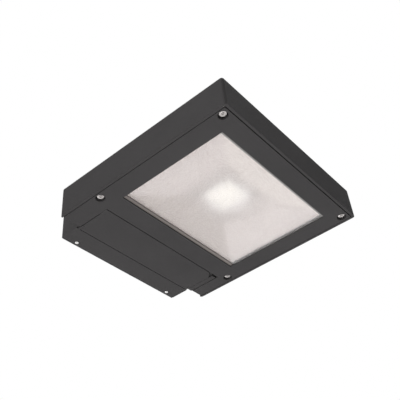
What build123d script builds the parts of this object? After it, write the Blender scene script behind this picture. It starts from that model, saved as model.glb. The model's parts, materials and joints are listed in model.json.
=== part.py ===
from build123d import *
import os

os.makedirs("parts", exist_ok=True)

# Wall pack light, in millimetres. The wall is the plane y = 0 and the light reaches out along -Y.
# +Z is up. The origin is the centre of the wall plate's back face.

# Housing: a shallow cast shell, open below
housing_width = 330.0
housing_depth = 322.0
housing_height = 54.5
housing_wall = 4.0
housing_roof = 3.5
housing_corner = 4.0
housing_top_edge = 2.5

# Wiring box: a wall part behind the housing and a front part inside it
box_side_step = 36.5
box_height = 92.0
box_reach = 39.0
box_wall = 3.0
box_gasket = 3.0
box_gasket_width = 2.5
box_gasket_inset = 0.3
box_corner = 1.5
pad_height = 6.0
pad_radius = 7.0
pad_inset_x = 30.0
pad_inset_y = 10.0

# Wiring cover and its hinge
cover_side_step = 2.5
cover_thickness = 2.0
cover_reach = 60.3
cover_overlap = 2.5
cover_front_gap = 1.4
cover_side_gap = 1.3
cover_rim_gap = 1.0
cover_inset = 0.5
cover_chamfer = 11.0
cover_tab_length = 13.0
cover_tab_gap = 0.2
cover_flange = 1.5
cover_flange_height = 6.0
cover_pin_radius = 1.5
cover_pin_rise = 5.5
cover_pin_inset = 4.5
cover_knuckle_radius = 2.8
cover_knuckle_length = 40.0
cover_knuckle_pitch = 80.0
cover_knuckle_foot = 4.0
cover_rear_gap = 0.9
cover_ear_gap = 0.35
cover_ear_reach = 4.95
cover_edge_slant = 1.6
spring_sheet = 0.5
spring_length = 30.0
spring_inset = 1.0
spring_gap = 0.1
pin_clearance = 0.05
press_clearance = 0.02

# Filler strip beside the cover, on the wiring box
strip_width = 8.8
strip_gap = 1.2
strip_length = 56.5
strip_recess = 0.6
strip_thickness = 2.4

# How far a cut runs past the face it opens
cut_past = 0.5

# Door frame
door_side_gap = 1.1
door_front_gap = 1.5
door_plate = 3.0
door_flange = 2.0
door_flange_height = 9.0
door_corner = 2.0
notch_flange_height = 8.0
roll_radius = 4.0
roll_inset = 0.5
hinge_pin_radius = 2.25
hinge_pin_hold = 3.0
hinge_bore_depth = 13.0
hinge_pin_end_gap = 1.0
rear_wall_gap = 1.0

# Door screws and their recesses
recess_radius = 7.5
recess_depth = 6.5
cup_wall = 1.8
cup_floor = 2.5
cup_edge_margin = 0.1
cup_land = 1.6
screw_front_inset = 16.4
door_screw_radius = 2.5
door_screw_head_radius = 5.5
door_screw_head = 3.2
door_screw_length = 12.0
door_boss_radius = 6.5
door_boss_gap = 0.2
door_boss_web = 3.0
door_boss_spare = 2.0
thread_clearance = 0.05
retainer_radius = 4.2
retainer_thickness = 1.0
retainer_clearance = 0.3
socket_radius = 2.0
socket_depth = 1.8
socket_post_radius = 0.6
door_screw_crown_radius = 4.0
door_screw_head_edge = 1.1
door_screw_point = 0.8

# Lens and what holds it
lens_thickness = 4.0
lens_overlap = 6.0
lens_play = 0.75
lens_lip = 1.5
lens_gasket = 1.0
lens_gasket_show = 3.0
lens_corner = 3.0
lens_rim = 1.8
lens_rim_height = 8.0
lens_edge_chamfer = 0.4
lens_front_margin = 36.0
channel_sheet = 0.6
channel_show = 6.2
channel_cap = 5.0
clip_sheet = 0.6
clip_length = 16.0
clip_pitch = 80.0
clip_reach = 2.2
clip_leg = 4.0

# Door seal and the rib that presses on it
seal_width = 3.0
seal_height = 4.5
seal_gap = 1.05
seal_cup_gap = 0.6
seal_rear_gap = 2.5
seal_rib = 2.2

# Light source and reflector
heat_pad_width = 124.0
heat_pad_length = 84.0
heat_pad_height = 4.0
heat_block_width = 84.0
heat_block_flange = 112.0
heat_block_length = 76.0
heat_block_base = 6.0
heat_block_top = 4.0
heat_block_rib = 4.0
heat_block_cells = 4
heat_screw_inset = 7.0
blind_hole_land = 1.0
thermal_pad_thickness = 0.5
board_width = 70.0
board_tail = 12.0
board_inset = 2.0
board_thickness = 1.6
source_rise = 26.9
emitter_size = 3.6
emitter_height = 0.7
emitter_step = 9.0
emitter_rows = 5
emitter_corner = 0.4
reflector_sheet = 1.0
reflector_margin = 1.5
reflector_clearance = 1.5
reflector_flat = 72.0
reflector_window = 56.0
reflector_screw_radius = 1.5
reflector_screw_head_radius = 2.6
connector_width = 12.0
connector_length = 8.0
connector_height = 4.5
connector_inset = 0.8

# Small fasteners
small_screw_radius = 2.0
small_head_radius = 3.6
small_head_height = 2.2
small_screw_bite = 2.0
hex_socket_ratio = 0.55
drive_slot_width = 0.8
box_screw_radius = 1.9
box_screw_head_radius = 2.9
box_screw_head = 1.6
box_screw_inset = 23.9
box_screw_wall_distance = 8.0
box_screw_length = 12.0
flange_nut_radius = 3.4
flange_nut_height = 5.0
screw_hole_clearance = 0.3

# Wall plate
plate_thickness = 2.0
plate_side_gap = 16.5
hook_reach = 14.0
hook_lip = 3.5
hook_gap = 0.2
rib_depth = 3.5
rib_setback = 5.5
flange_reach = 16.0
junction_spacing = 88.9
junction_slot_length = 14.0
junction_slot_radius = 2.75
lag_spacing_x = 180.0
lag_spacing_z = 48.0
lag_hole_radius = 3.5
wire_hole_radius = 19.0

# Driver, terminal block, surge protector
driver_left_room = 57.5
driver_right_room = 47.5
driver_depth = 40.0
driver_height = 24.0
driver_tab = 8.0
driver_tab_thickness = 1.5
driver_corner = 3.0
driver_edge = 1.5
terminal_width = 40.0
terminal_height = 20.0
terminal_depth = 16.0
terminal_inset = 23.5
terminal_top_gap = 18.0
terminal_poles = 3
terminal_chamfer = 1.5
terminal_funnel_depth = 6.0
terminal_pocket_radius = 3.0
terminal_pocket_depth = 3.0
terminal_screw_radius = 2.7
terminal_screw_height = 1.6
ground_screw_gap = 9.0
ground_head_radius = 4.2
surge_width = 44.0
surge_height = 22.0
surge_depth = 17.0
surge_gap = 84.0
surge_tab = 8.0
surge_lift = 7.0
surge_edge = 2.0
surge_tab_height = 12.0
wire_radius = 0.9
wire_gap = 1.2
grommet_radius = 5.5
grommet_lip = 1.2
grommet_bore_play = 0.05
wire_bore_play = 0.05
grommet_rise = 31.0
led_lead_inset = 24.5
led_bend = 12.0
supply_bend = 5.0
corner_bend = 4.0
bond_rise = 8.0
surge_lead_gap = 3.0

# Levels and planes worked out from the sizes above
face_z = -box_height / 2
housing_top_z = face_z + housing_height
roof_z = housing_top_z - housing_roof
rear_y = -box_reach
box_width = housing_width - 2 * box_side_step
front_y = rear_y - housing_depth
housing_mid_y = (rear_y + front_y) / 2
wall_inner_x = housing_width / 2 - housing_wall
plate_top_z = face_z + door_plate

# Cover and wiring box places
cover_front_y = rear_y - cover_reach
cover_rear_y = rear_y + cover_overlap
cover_half = box_width / 2 - cover_side_step
box_front_half = cover_half - cover_inset
box_front_y = cover_front_y + cover_inset
box_rim_z = face_z + cover_thickness + cover_rim_gap
box_front_top_z = roof_z - pad_height
box_inner_half = box_front_half - box_wall
box_inner_front_y = box_front_y + box_wall
box_ceiling_z = box_front_top_z - box_wall
box_web_y = rear_y + box_wall
cover_pin_y = cover_rear_y - cover_pin_inset
cover_pin_z = face_z + cover_pin_rise
cover_ear_front_y = cover_pin_y - cover_ear_reach
pad_x = box_inner_half - pad_inset_x
pad_front_y = box_inner_front_y + pad_inset_y
pad_rear_y = box_web_y - pad_inset_y - small_head_radius
strip_start_x = cover_half + strip_gap
strip_end_x = strip_start_x + strip_width
strip_bottom_z = face_z + strip_recess

# Door places
notch_depth = cover_reach + cover_front_gap
notch_front_y = rear_y - notch_depth
notch_left_x = -cover_half - cover_side_gap
notch_right_x = strip_end_x + strip_gap
door_half = wall_inner_x - door_side_gap
door_front_y = front_y + housing_wall + door_front_gap
hinge_y = rear_y - roll_inset - roll_radius
hinge_z = face_z + roll_radius
cup_radius = recess_radius + cup_wall
screw_x = door_half - cup_edge_margin - cup_radius
screw_front_y = front_y + screw_front_inset
screw_rear_y = notch_front_y - cup_land - cup_radius
screw_floor_z = face_z + recess_depth
cup_top_z = screw_floor_z + cup_floor
screw_spots = [(x, y) for x in (-screw_x, screw_x) for y in (screw_front_y, screw_rear_y)]

# Lens places, built outwards from the row of screws
lens_surround = lens_overlap + lens_play + lens_rim + seal_gap + seal_width
opening_half = screw_x - cup_radius - seal_cup_gap - lens_surround
opening_rear_y = screw_rear_y - cup_radius - seal_rear_gap - lens_surround
opening_front_y = front_y + lens_front_margin
opening_mid_y = (opening_rear_y + opening_front_y) / 2
opening_half_length = (opening_rear_y - opening_front_y) / 2
glass_half = opening_half + lens_overlap
glass_half_length = opening_half_length + lens_overlap
rim_half = glass_half + lens_play
rim_half_length = glass_half_length + lens_play
seal_half = rim_half + lens_rim + seal_gap + seal_width / 2
seal_half_length = rim_half_length + lens_rim + seal_gap + seal_width / 2
lip_z = face_z + lens_lip
glass_z = lip_z + lens_gasket
glass_top_z = glass_z + lens_thickness
seal_top_z = plate_top_z + seal_height

# Light source levels
heat_pad_z = roof_z - heat_pad_height
board_z = face_z + source_rise
board_top_z = board_z + board_thickness
heat_block_z = board_top_z + thermal_pad_thickness
board_length = heat_block_length - 2 * board_inset + board_tail
board_front_y = opening_mid_y - heat_block_length / 2 + board_inset
board_mid_y = board_front_y + board_length / 2
board_rear_y = board_front_y + board_length
reflector_z = glass_top_z + reflector_clearance
reflector_half = opening_half - reflector_sheet
reflector_half_length = opening_half_length - reflector_margin
reflector_screw_spot = (reflector_flat + reflector_window) / 4
heat_screw_x = heat_block_flange / 2 - heat_screw_inset
heat_screw_y = heat_block_length / 2 - 2 * heat_screw_inset

# Wall plate, driver and wiring places
plate_width = box_width - 2 * plate_side_gap
box_screw_x = box_width / 2 - box_screw_inset
terminal_centre_x = -box_width / 2 + box_wall + terminal_inset + terminal_width / 2
led_lead_x = box_inner_half - led_lead_inset
driver_z = box_ceiling_z - driver_height
driver_mid_y = (box_inner_front_y + cover_ear_front_y) / 2
driver_left_x = driver_left_room - box_inner_half
driver_right_x = box_inner_half - driver_right_room
driver_length = driver_right_x - driver_left_x
driver_centre_x = (driver_left_x + driver_right_x) / 2
driver_screw_spots = [(driver_centre_x + side * (driver_length + driver_tab) / 2, driver_mid_y)
                      for side in (-1, 1)]
terminal_floor_z = -face_z - terminal_top_gap - terminal_height
terminal_right_x = terminal_centre_x + terminal_width / 2
surge_left_x = terminal_right_x + surge_gap
surge_centre_x = surge_left_x + surge_width / 2
surge_mid_z = terminal_floor_z + surge_height / 2 + surge_lift
grommet_z = face_z + grommet_rise
seal_rear_y = opening_mid_y + seal_half_length


def frame_band(half_width, half_length, band, corner):
    """A rectangular band centred on the lens opening, drawn in the open sketch."""
    with Locations((0, opening_mid_y)):
        RectangleRounded(2 * half_width + band, 2 * half_length + band, corner + band)
        RectangleRounded(2 * half_width - band, 2 * half_length - band, corner, mode=Mode.SUBTRACT)


def block(x_range, y_range, z_range, mode=Mode.ADD):
    """A plain block between two corners, added to or cut from the open part."""
    centre_x = sum(x_range) / 2
    centre_y = sum(y_range) / 2
    with BuildSketch(Plane.XY.offset(z_range[0])) as outline:
        with Locations((centre_x, centre_y)):
            Rectangle(x_range[1] - x_range[0], y_range[1] - y_range[0])
    extrude(outline.sketch, amount=z_range[1] - z_range[0], mode=mode)


def rod(plane, radius, length, mode=Mode.ADD):
    """A round bar that starts on a plane and runs along its normal."""
    with BuildSketch(plane) as outline:
        Circle(radius)
    extrude(outline.sketch, amount=length, mode=mode)


# Housing
with BuildPart() as housing:
    with BuildSketch(Plane.XY.offset(face_z)):
        with Locations((0, housing_mid_y)):
            RectangleRounded(housing_width, housing_depth, housing_corner)
    extrude(amount=housing_height)
    fillet(housing.faces().sort_by(Axis.Z)[-1].edges(), housing_top_edge)
    with BuildSketch(Plane.XY.offset(face_z)):
        with Locations((0, housing_mid_y)):
            RectangleRounded(2 * wall_inner_x, housing_depth - 2 * housing_wall, housing_corner / 2)
    extrude(amount=housing_height - housing_roof, mode=Mode.SUBTRACT)
    # the rear wall stops above the door's rolled edge, and is open where the wiring box enters
    rear_wall_span = (rear_y - housing_wall - housing_corner, rear_y + cut_past)
    block((-wall_inner_x, wall_inner_x), rear_wall_span,
          (face_z - cut_past, hinge_z + roll_radius + rear_wall_gap), Mode.SUBTRACT)
    block((-box_front_half - cover_inset, box_front_half + cover_inset), rear_wall_span,
          (face_z - cut_past, roof_z), Mode.SUBTRACT)
    # rib that presses on the door seal
    with BuildSketch(Plane.XY.offset(seal_top_z)):
        frame_band(seal_half, seal_half_length, seal_rib, lens_corner)
    extrude(amount=roof_z - seal_top_z)
    # bosses for the door screws, tied to the side walls
    with BuildSketch(Plane.XY.offset(cup_top_z + door_boss_gap)):
        with Locations(*screw_spots):
            Circle(door_boss_radius)
        with Locations(*[((screw_x + wall_inner_x) / 2 * (1 if x > 0 else -1), y) for x, y in screw_spots]):
            Rectangle(wall_inner_x - screw_x + cut_past, door_boss_web)
    extrude(amount=roof_z - cup_top_z - door_boss_gap)
    with Locations(*[Location((x, y, cup_top_z + door_boss_gap), (180, 0, 0)) for x, y in screw_spots]):
        CounterBoreHole(door_screw_radius + thread_clearance, retainer_radius + retainer_clearance,
                        retainer_thickness + retainer_clearance, door_screw_length + door_boss_spare)
    # pads that the wiring box is screwed to
    pad_spots = [(x, y) for x in (-pad_x, pad_x) for y in (pad_front_y, pad_rear_y)]
    with BuildSketch(Plane.XY.offset(box_front_top_z)):
        with Locations(*pad_spots):
            Circle(pad_radius)
    extrude(amount=pad_height)
    with Locations(*[Location((x, y, box_front_top_z), (180, 0, 0)) for x, y in pad_spots]):
        Hole(small_screw_radius + thread_clearance, pad_height + housing_roof / 2)
    # thick pad above the heat block
    with BuildSketch(Plane.XY.offset(heat_pad_z)):
        with Locations((0, opening_mid_y)):
            RectangleRounded(heat_pad_width, heat_pad_length, housing_corner)
    extrude(amount=heat_pad_height)
    heat_screw_spots = [(x, opening_mid_y + y) for x in (-heat_screw_x, heat_screw_x)
                        for y in (-heat_screw_y, heat_screw_y)]
    with Locations(*[Location((x, y, heat_pad_z), (180, 0, 0)) for x, y in heat_screw_spots]):
        Hole(small_screw_radius + thread_clearance, heat_pad_height + housing_roof / 2)
    # blind holes for the door's hinge pins
    for side in (-1, 1):
        hinge_hole = Plane(origin=(side * wall_inner_x, hinge_y, hinge_z), z_dir=(side, 0, 0))
        rod(hinge_hole, hinge_pin_radius + press_clearance, hinge_pin_hold, Mode.SUBTRACT)
    # hole for the LED leads through the sealing rib
    rib_hole = Plane(origin=(led_lead_x, seal_rear_y - seal_rib, grommet_z), z_dir=(0, 1, 0))
    rod(rib_hole, grommet_radius - grommet_lip + grommet_bore_play, 2 * seal_rib, Mode.SUBTRACT)

# Wiring box
with BuildPart() as wiring_box:
    with BuildSketch(Plane.XZ.offset(box_gasket)):
        RectangleRounded(box_width, box_height, box_corner)
    extrude(amount=box_reach - box_gasket)
    block((-box_front_half, box_front_half), (box_front_y, rear_y), (box_rim_z, box_front_top_z))
    # hollow of the wall part, open at the back
    block((-box_width / 2 + box_wall, box_width / 2 - box_wall), (box_web_y, -box_gasket + cut_past),
          (face_z + box_wall, -face_z - box_wall), Mode.SUBTRACT)
    # hollow of the front part, open below and into the wall part
    block((-box_inner_half, box_inner_half), (box_inner_front_y, box_web_y + cut_past),
          (face_z - cut_past, box_ceiling_z), Mode.SUBTRACT)
    # slanted front edge of the floor, which lets the cover's rear edge swing up past it
    floor_edge_y = cover_rear_y + cover_rear_gap
    with BuildSketch(Plane.YZ):
        with BuildLine():
            Polyline((rear_y - cut_past, face_z - cut_past), (floor_edge_y, face_z - cut_past),
                     (floor_edge_y, face_z), (floor_edge_y + cover_thickness, box_rim_z),
                     (rear_y - cut_past, box_rim_z), close=True)
        make_face()
    extrude(amount=box_width, both=True, mode=Mode.SUBTRACT)
    # ears beside the cover's rear corners, which carry its hinge pin
    for side in (-1, 1):
        ear_span = sorted((side * box_inner_half, side * cover_half))
        block(ear_span, (cover_ear_front_y, floor_edge_y + cover_thickness),
              (face_z, box_rim_z + cover_pin_rise))
        pin_hole = Plane(origin=(side * box_inner_half, cover_pin_y, cover_pin_z), z_dir=(side, 0, 0))
        rod(pin_hole, cover_pin_radius + press_clearance, box_wall - cover_inset, Mode.SUBTRACT)
    # filler strip between the cover and the door's notch, on a web from the side wall
    strip_span_y = (rear_y - strip_length, rear_y - roll_inset)
    block((strip_start_x, strip_end_x), strip_span_y, (strip_bottom_z, box_rim_z + strip_thickness))
    block((box_front_half, strip_end_x), strip_span_y, (box_rim_z, box_rim_z + strip_thickness))
    # rib that hangs on the wall plate's hook
    hook_rib_z = -face_z - box_wall - hook_lip + hook_gap
    block((-plate_width / 2 + 2 * box_wall, plate_width / 2 - 2 * box_wall), (-rib_setback - rib_depth, -rib_setback),
          (hook_rib_z, -face_z - box_wall))
    with Locations(*[Location((x, -box_screw_wall_distance, face_z), (180, 0, 0))
                     for x in (-box_screw_x, box_screw_x)]):
        Hole(box_screw_radius + screw_hole_clearance, box_wall)
    with Locations(*[Location((x, y, box_ceiling_z), (180, 0, 0)) for x, y in pad_spots]):
        Hole(small_screw_radius + screw_hole_clearance, box_wall)
    with Locations(*[Location((x, y, box_ceiling_z), (180, 0, 0)) for x, y in driver_screw_spots]):
        Hole(small_screw_radius + thread_clearance, box_wall)
    wall_hole = Plane(origin=(led_lead_x, box_inner_front_y + cut_past, grommet_z), z_dir=(0, -1, 0))
    rod(wall_hole, grommet_radius - grommet_lip + grommet_bore_play, box_wall + 2 * cut_past, Mode.SUBTRACT)

# Foam gasket between the wiring box and the wall
with BuildPart() as wall_gasket:
    with BuildSketch(Plane.XZ):
        RectangleRounded(box_width - 2 * box_gasket_inset, box_height - 2 * box_gasket_inset, box_corner)
        Rectangle(box_width - 2 * (box_gasket_inset + box_gasket_width),
                  box_height - 2 * (box_gasket_inset + box_gasket_width), mode=Mode.SUBTRACT)
    extrude(amount=box_gasket)

# Wall plate: a formed sheet with a hook along its top and a flange along its bottom
flange_z = face_z + box_wall
hook_z = hook_rib_z - hook_gap
with BuildPart() as wall_plate:
    with BuildSketch(Plane.YZ):
        with BuildLine():
            Polyline((0, flange_z), (-flange_reach, flange_z), (-flange_reach, flange_z + plate_thickness),
                     (-plate_thickness, flange_z + plate_thickness), (-plate_thickness, hook_z - plate_thickness),
                     (-hook_reach, hook_z - plate_thickness), (-hook_reach, hook_z + hook_lip / 2),
                     (plate_thickness - hook_reach, hook_z + hook_lip / 2), (plate_thickness - hook_reach, hook_z),
                     (0, hook_z), close=True)
        make_face()
    extrude(amount=plate_width / 2, both=True)
    with BuildSketch(Plane.XZ):
        Circle(wire_hole_radius)
        with Locations((-junction_spacing / 2, 0), (junction_spacing / 2, 0)):
            SlotOverall(junction_slot_length, 2 * junction_slot_radius)
        with GridLocations(lag_spacing_x, lag_spacing_z, 2, 2):
            Circle(lag_hole_radius)
    extrude(amount=plate_thickness, mode=Mode.SUBTRACT)
    with Locations(*[Location((x, -box_screw_wall_distance, flange_z), (180, 0, 0))
                     for x in (-box_screw_x, box_screw_x)]):
        Hole(box_screw_radius + thread_clearance, plate_thickness)

# Nuts pressed on the plate's flange, and the two screws that come up from below
with BuildPart() as flange_nuts:
    with BuildSketch(Plane.XY.offset(flange_z + plate_thickness)):
        with Locations((-box_screw_x, -box_screw_wall_distance), (box_screw_x, -box_screw_wall_distance)):
            RegularPolygon(flange_nut_radius, 6)
            Circle(box_screw_radius + thread_clearance, mode=Mode.SUBTRACT)
    extrude(amount=flange_nut_height)

with BuildPart() as box_screws:
    with BuildSketch(Plane.XY.offset(face_z - box_screw_head)):
        with Locations((-box_screw_x, -box_screw_wall_distance), (box_screw_x, -box_screw_wall_distance)):
            Circle(box_screw_head_radius)
    extrude(amount=box_screw_head)
    fillet(box_screws.faces().group_by(Axis.Z)[0].edges(), box_screw_head / 2)
    with BuildSketch(Plane.XY.offset(face_z)):
        with Locations((-box_screw_x, -box_screw_wall_distance), (box_screw_x, -box_screw_wall_distance)):
            Circle(box_screw_radius)
    extrude(amount=box_screw_length)


def hex_screws(spots, under_head_z, radius, length, head_radius, head_height):
    """Screws with a round head below and a hexagon socket in it, pointing up."""
    with BuildSketch(Plane.XY.offset(under_head_z - head_height)) as heads:
        with Locations(*spots):
            Circle(head_radius)
    extrude(heads.sketch, amount=head_height)
    with BuildSketch(Plane.XY.offset(under_head_z)) as shanks:
        with Locations(*spots):
            Circle(radius)
    extrude(shanks.sketch, amount=length)
    with BuildSketch(Plane.XY.offset(under_head_z - head_height)) as sockets:
        with Locations(*spots):
            RegularPolygon(head_radius * hex_socket_ratio, 6)
    extrude(sockets.sketch, amount=head_height * hex_socket_ratio, mode=Mode.SUBTRACT)


# Screws that hold the wiring box to the housing
with BuildPart() as housing_screws:
    hex_screws(pad_spots, box_ceiling_z, small_screw_radius, box_wall + pad_height, small_head_radius,
               small_head_height)

# Cover hinge pin, carried by the wiring box's ears
with BuildPart() as cover_pin:
    pin_start = Plane(origin=(-box_inner_half - box_wall + cover_inset, cover_pin_y, cover_pin_z), z_dir=(1, 0, 0))
    rod(pin_start, cover_pin_radius, 2 * (box_inner_half + box_wall - cover_inset))

# Wiring cover: plate, inner flange and hinge knuckles
with BuildPart() as wiring_cover:
    with BuildSketch(Plane.XY.offset(face_z)):
        with BuildLine():
            Polyline((-cover_half, cover_front_y), (cover_half - cover_chamfer, cover_front_y),
                     (cover_half, cover_front_y + cover_chamfer), (cover_half, cover_ear_front_y - cover_ear_gap),
                     (box_inner_half - cover_ear_gap, cover_ear_front_y - cover_ear_gap),
                     (box_inner_half - cover_ear_gap, cover_rear_y), (cover_ear_gap - box_inner_half, cover_rear_y),
                     (cover_ear_gap - box_inner_half, cover_ear_front_y - cover_ear_gap),
                     (-cover_half, cover_ear_front_y - cover_ear_gap), close=True)
        make_face()
        with Locations(((notch_left_x + cover_tab_gap - cover_half) / 2, cover_front_y + cover_tab_length / 2)):
            Rectangle(-cover_half - notch_left_x - cover_tab_gap, cover_tab_length)
    extrude(amount=cover_thickness)
    # its edge in front of each ear slants, so that it can swing down past the ear
    ear_edge_y = cover_ear_front_y - cover_ear_gap
    for side in (-1, 1):
        with BuildSketch(Plane.YZ.offset(side * (box_inner_half - cover_ear_gap))):
            with BuildLine():
                Polyline((ear_edge_y, face_z), (ear_edge_y - cover_edge_slant, face_z + cover_thickness),
                         (ear_edge_y, face_z + cover_thickness), close=True)
            make_face()
        extrude(amount=side * cover_tab_length, mode=Mode.SUBTRACT)
    flange_outer = box_inner_half - cover_rim_gap
    flange_front_y = box_inner_front_y + cover_rim_gap
    flange_rear_y = cover_ear_front_y - 2 * cover_ear_gap
    with BuildSketch(Plane.XY.offset(face_z + cover_thickness)):
        with Locations((0, (flange_front_y + flange_rear_y) / 2)):
            Rectangle(2 * flange_outer, flange_rear_y - flange_front_y)
        with Locations((0, (flange_front_y + flange_rear_y) / 2 + cover_flange)):
            Rectangle(2 * (flange_outer - cover_flange), flange_rear_y - flange_front_y, mode=Mode.SUBTRACT)
    extrude(amount=cover_flange_height)
    knuckle_x = [i * cover_knuckle_pitch for i in (-1, 0, 1)]
    for x in knuckle_x:
        knuckle_plane = Plane(origin=(x - cover_knuckle_length / 2, cover_pin_y, cover_pin_z), x_dir=(0, 1, 0),
                              z_dir=(1, 0, 0))
        with BuildSketch(knuckle_plane) as knuckle:
            Circle(cover_knuckle_radius)
            with Locations((0, -(cover_pin_rise - cover_thickness) / 2)):
                Rectangle(cover_knuckle_foot, cover_pin_rise - cover_thickness)
            Circle(cover_pin_radius + pin_clearance, mode=Mode.SUBTRACT)
        extrude(amount=cover_knuckle_length)

# Leaf springs on the cover's flange, which hold it shut by friction
with BuildPart() as cover_springs:
    with BuildSketch(Plane.XY.offset(face_z + cover_thickness + spring_inset)):
        for x in (-cover_knuckle_pitch, cover_knuckle_pitch):
            with BuildLine():
                spring_start = (x - spring_length / 2, flange_front_y)
                spring_top = (x, flange_front_y - cover_rim_gap + spring_gap)
                spring_end = (x + spring_length / 2, flange_front_y)
                ThreePointArc(spring_start, spring_top, spring_end)
                Line(spring_end, spring_start)
            make_face()
    extrude(amount=cover_flange_height - 2 * spring_inset)

# Door frame: plate, edge flange, lens rim, screw cups and the rolled hinge edge
with BuildPart() as door_frame:
    with BuildSketch(Plane.XY.offset(face_z)) as door_outline:
        with Locations((0, (door_front_y + hinge_y) / 2)):
            RectangleRounded(2 * door_half, hinge_y - door_front_y, door_corner)
        with Locations((0, hinge_y - door_corner)):
            Rectangle(2 * door_half, 2 * door_corner)
        with Locations(((notch_left_x + notch_right_x) / 2, notch_front_y + notch_depth / 2)):
            Rectangle(notch_right_x - notch_left_x, notch_depth, mode=Mode.SUBTRACT)
    extrude(amount=door_plate)
    # edge flange along the front and both sides
    with BuildSketch(Plane.XY.offset(face_z)):
        with Locations((0, (door_front_y + hinge_y) / 2)):
            RectangleRounded(2 * door_half, hinge_y - door_front_y, door_corner)
        with Locations((0, (door_front_y + hinge_y) / 2 + door_flange)):
            Rectangle(2 * (door_half - door_flange), hinge_y - door_front_y, mode=Mode.SUBTRACT)
    extrude(amount=door_flange_height)
    # flange around the notch
    with BuildSketch(Plane.XY.offset(face_z)):
        with Locations(((notch_left_x + notch_right_x) / 2, notch_front_y + notch_depth / 2 - door_flange / 2)):
            Rectangle(notch_right_x - notch_left_x + 2 * door_flange, notch_depth + door_flange)
        with Locations(((notch_left_x + notch_right_x) / 2, notch_front_y + notch_depth / 2)):
            Rectangle(notch_right_x - notch_left_x, notch_depth, mode=Mode.SUBTRACT)
        with Locations((0, hinge_y + housing_depth / 2)):
            Rectangle(housing_width, housing_depth, mode=Mode.SUBTRACT)
    extrude(amount=notch_flange_height)
    # rolled rear edges, which turn about the hinge line
    for start_x, end_x in ((-door_half, notch_left_x), (notch_right_x, door_half)):
        roll_plane = Plane(origin=(start_x, hinge_y, hinge_z), z_dir=(1, 0, 0))
        rod(roll_plane, roll_radius, end_x - start_x)
    for side in (-1, 1):
        bore_plane = Plane(origin=(side * (door_half + cut_past), hinge_y, hinge_z), z_dir=(-side, 0, 0))
        rod(bore_plane, hinge_pin_radius + pin_clearance, hinge_bore_depth + cut_past, Mode.SUBTRACT)
    # lens opening, its seat and the rim around the glass
    with BuildSketch(Plane.XY.offset(face_z)):
        with Locations((0, opening_mid_y)):
            RectangleRounded(2 * (rim_half + lens_rim), 2 * (rim_half_length + lens_rim), lens_corner)
    extrude(amount=lens_rim_height)
    with BuildSketch(Plane.XY.offset(lip_z)):
        with Locations((0, opening_mid_y)):
            RectangleRounded(2 * rim_half, 2 * rim_half_length, lens_corner / 2)
    extrude(amount=lens_rim_height, mode=Mode.SUBTRACT)
    with BuildSketch(Plane.XY.offset(face_z)):
        with Locations((0, opening_mid_y)):
            Rectangle(2 * opening_half, 2 * opening_half_length)
    extrude(amount=lens_rim_height, mode=Mode.SUBTRACT)
    # screw cups
    with BuildSketch(Plane.XY.offset(face_z)):
        with Locations(*screw_spots):
            Circle(cup_radius)
    extrude(amount=recess_depth + cup_floor)
    with Locations(*[Location((x, y, face_z), (180, 0, 0)) for x, y in screw_spots]):
        CounterBoreHole(door_screw_radius + screw_hole_clearance, recess_radius, recess_depth)

# Door hinge pins, pressed into the housing's side walls
with BuildPart() as door_pins:
    for side in (-1, 1):
        pin_plane = Plane(origin=(side * (wall_inner_x + hinge_pin_hold), hinge_y, hinge_z), z_dir=(-side, 0, 0))
        rod(pin_plane, hinge_pin_radius, hinge_pin_hold + door_side_gap + hinge_bore_depth - hinge_pin_end_gap)

# Captive door screws with a socket and a centre post, and the rings that keep them in the door
with BuildPart() as door_screws:
    for x, y in screw_spots:
        with BuildSketch(Plane(origin=(x, y, screw_floor_z - door_screw_head), x_dir=(0, 1, 0),
                               z_dir=(1, 0, 0))) as head:
            with BuildLine():
                Polyline((0, 0), (door_screw_crown_radius, 0), (door_screw_head_radius, door_screw_head_edge),
                         (door_screw_head_radius, door_screw_head), (door_screw_radius, door_screw_head),
                         (door_screw_radius, door_screw_head + door_screw_length - door_screw_point),
                         (door_screw_radius - door_screw_point, door_screw_head + door_screw_length),
                         (0, door_screw_head + door_screw_length), close=True)
            make_face()
        revolve(head.sketch, axis=Axis((x, y, 0), (0, 0, 1)))
        with BuildSketch(Plane.XY.offset(screw_floor_z - door_screw_head)) as socket:
            with Locations((x, y)):
                RegularPolygon(socket_radius, 6, major_radius=False)
                Circle(socket_post_radius, mode=Mode.SUBTRACT)
        extrude(socket.sketch, amount=socket_depth, mode=Mode.SUBTRACT)

with BuildPart() as screw_retainers:
    with BuildSketch(Plane.XY.offset(cup_top_z)):
        with Locations(*screw_spots):
            Circle(retainer_radius)
            Circle(door_screw_radius + thread_clearance, mode=Mode.SUBTRACT)
    extrude(amount=retainer_thickness)

# Lens glass, its gasket, the channel along its rear edge and the clips over its other edges
with BuildPart() as lens:
    with BuildSketch(Plane.XY.offset(glass_z)):
        with Locations((0, opening_mid_y)):
            RectangleRounded(2 * glass_half, 2 * glass_half_length, lens_corner)
    extrude(amount=lens_thickness)
    lens_faces = lens.faces().group_by(Axis.Z)
    chamfer(lens_faces[0].edges() + lens_faces[-1].edges(), lens_edge_chamfer)

channel_start_y = opening_rear_y - channel_show
glass_rear_y = opening_mid_y + glass_half_length
with BuildPart() as lens_gasket_frame:
    with BuildSketch(Plane.XY.offset(lip_z)):
        with Locations((0, (opening_front_y - lens_overlap + channel_start_y) / 2)):
            Rectangle(2 * glass_half, channel_start_y - opening_front_y + lens_overlap)
        with Locations((0, (opening_front_y + lens_gasket_show + channel_start_y) / 2)):
            Rectangle(2 * opening_half, channel_start_y - opening_front_y - lens_gasket_show, mode=Mode.SUBTRACT)
    extrude(amount=lens_gasket)

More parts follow.
